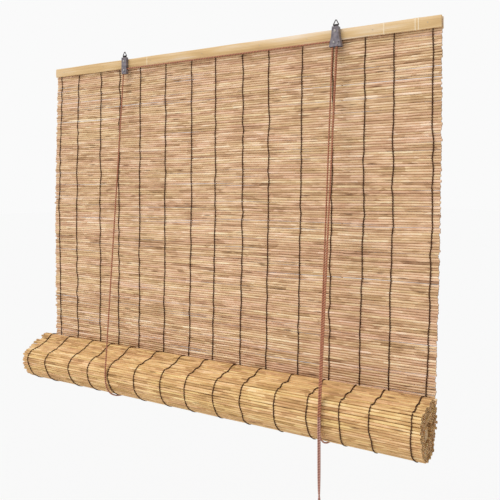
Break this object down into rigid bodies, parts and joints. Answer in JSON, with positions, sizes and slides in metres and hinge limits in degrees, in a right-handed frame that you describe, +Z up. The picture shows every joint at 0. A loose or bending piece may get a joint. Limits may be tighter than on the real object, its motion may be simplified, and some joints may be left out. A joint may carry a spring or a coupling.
{
  "type": "reed roll up blind",
  "caption": "Roll-up window blind of woven natural reeds on a split bamboo head, with wire hanging eyes, pulley brackets, lift cords and hanging pull cords",
  "frame": {"origin": "middle of the back head slat's rear face, where it lies against the wall or window frame", "axes": "+X along the reeds to the right of a person facing the blind, -Y forward into the room, +Z up"},
  "size_m": [1, 0.1425, 0.9855],
  "materials": {
    "reed": "raw dried reed, split and round",
    "bamboo": "split bamboo lath with nodes, unlacquered",
    "thread": "dark brown twisted yarn",
    "cord": "reddish brown braided cord",
    "bracket": "grey brown enamel on pressed sheet steel",
    "steel": "bright zinc plated",
    "dark_steel": "dark enamel on steel",
    "sheave": "moulded nylon"
  },
  "bodies": {
    "head": {"front_head_slat": "bamboo", "back_head_slat": "bamboo", "head_nails": "steel", "hanging_reeds": "reed", "warp_thread_01": "thread", "warp_thread_02": "thread", "warp_thread_03": "thread", "warp_thread_04": "thread", "warp_thread_05": "thread", "warp_thread_06": "thread", "warp_thread_07": "thread", "warp_thread_08": "thread", "warp_thread_09": "thread", "warp_thread_10": "thread", "warp_thread_11": "thread", "warp_thread_12": "thread", "warp_thread_13": "thread", "warp_thread_14": "thread", "warp_thread_15": "thread", "left_housing": "bracket", "left_axle": "steel", "left_screw": "steel", "left_collar": "dark_steel", "right_housing": "bracket", "right_axle": "steel", "right_screw": "steel", "right_collar": "dark_steel", "cross_cord": "cord", "right_top_cord": "cord", "left_lift_front": "cord", "left_lift_back": "cord", "right_lift_front": "cord", "right_lift_back": "cord", "pull_tail_1_upper": "cord", "pull_tail_2_upper": "cord"},
    "roll": {"rolled_mat": "reed", "rolled_warp_threads": "thread", "bottom_slat_front": "bamboo", "bottom_slat_back": "bamboo", "bottom_reeds": "reed", "left_lift_loop": "cord", "right_lift_loop": "cord", "pull_tail_1_lower": "cord", "pull_tail_1_coil": "cord", "pull_tail_2_lower": "cord", "pull_tail_2_coil": "cord"},
    "left_ring": {"left_ring": "steel"},
    "right_ring": {"right_ring": "steel"},
    "left_sheave": {"left_sheave": "sheave"},
    "right_rear_sheave": {"right_rear_sheave": "sheave"},
    "right_front_sheave": {"right_front_sheave": "sheave"},
    "lock_roller": {"lock_roller": "steel"}
  },
  "joints": [
    {"name": "roll_raise", "type": "slide", "parent": "head", "child": "roll", "axis": [0, 0, 1], "range_m": [0, 0.6], "deforming": ["hanging_reeds", "warp_thread_01", "warp_thread_02", "warp_thread_03", "warp_thread_04", "warp_thread_05", "warp_thread_06", "warp_thread_07", "warp_thread_08", "warp_thread_09", "warp_thread_10", "warp_thread_11", "warp_thread_12", "warp_thread_13", "warp_thread_14", "warp_thread_15", "left_lift_front", "right_lift_front", "left_lift_back", "right_lift_back", "pull_tail_1_upper", "pull_tail_2_upper"]},
    {"name": "left_ring_swing", "type": "hinge", "parent": "head", "child": "left_ring", "pos_m": [-0.256, -0.0219, 0.0172], "axis": [1, 0, 0], "range_deg": [-90, 90]},
    {"name": "right_ring_swing", "type": "hinge", "parent": "head", "child": "right_ring", "pos_m": [0.297, -0.02425, 0.0172], "axis": [1, 0, 0], "range_deg": [-90, 90]},
    {"name": "left_sheave_spin", "type": "hinge", "parent": "head", "child": "left_sheave", "pos_m": [-0.256, -0.0214, -0.0172], "axis": [0, 1, 0], "continuous": true},
    {"name": "right_rear_sheave_spin", "type": "hinge", "parent": "head", "child": "right_rear_sheave", "pos_m": [0.2945, -0.0214, -0.0172], "axis": [0, 1, 0], "continuous": true},
    {"name": "right_front_sheave_spin", "type": "hinge", "parent": "head", "child": "right_front_sheave", "pos_m": [0.2945, -0.0261, -0.0172], "axis": [0, 1, 0], "continuous": true},
    {"name": "lock_roller_slide", "type": "slide", "parent": "head", "child": "lock_roller", "axis": [0.5, 0, 0.866], "range_m": [0, 0.003]}
  ],
  "couplings": [
    {"joint": "left_sheave_spin", "follows": "roll_raise", "rad_per_m": 476.19},
    {"joint": "right_rear_sheave_spin", "follows": "roll_raise", "rad_per_m": 476.19},
    {"joint": "right_front_sheave_spin", "follows": "roll_raise", "rad_per_m": 476.19}
  ]
}
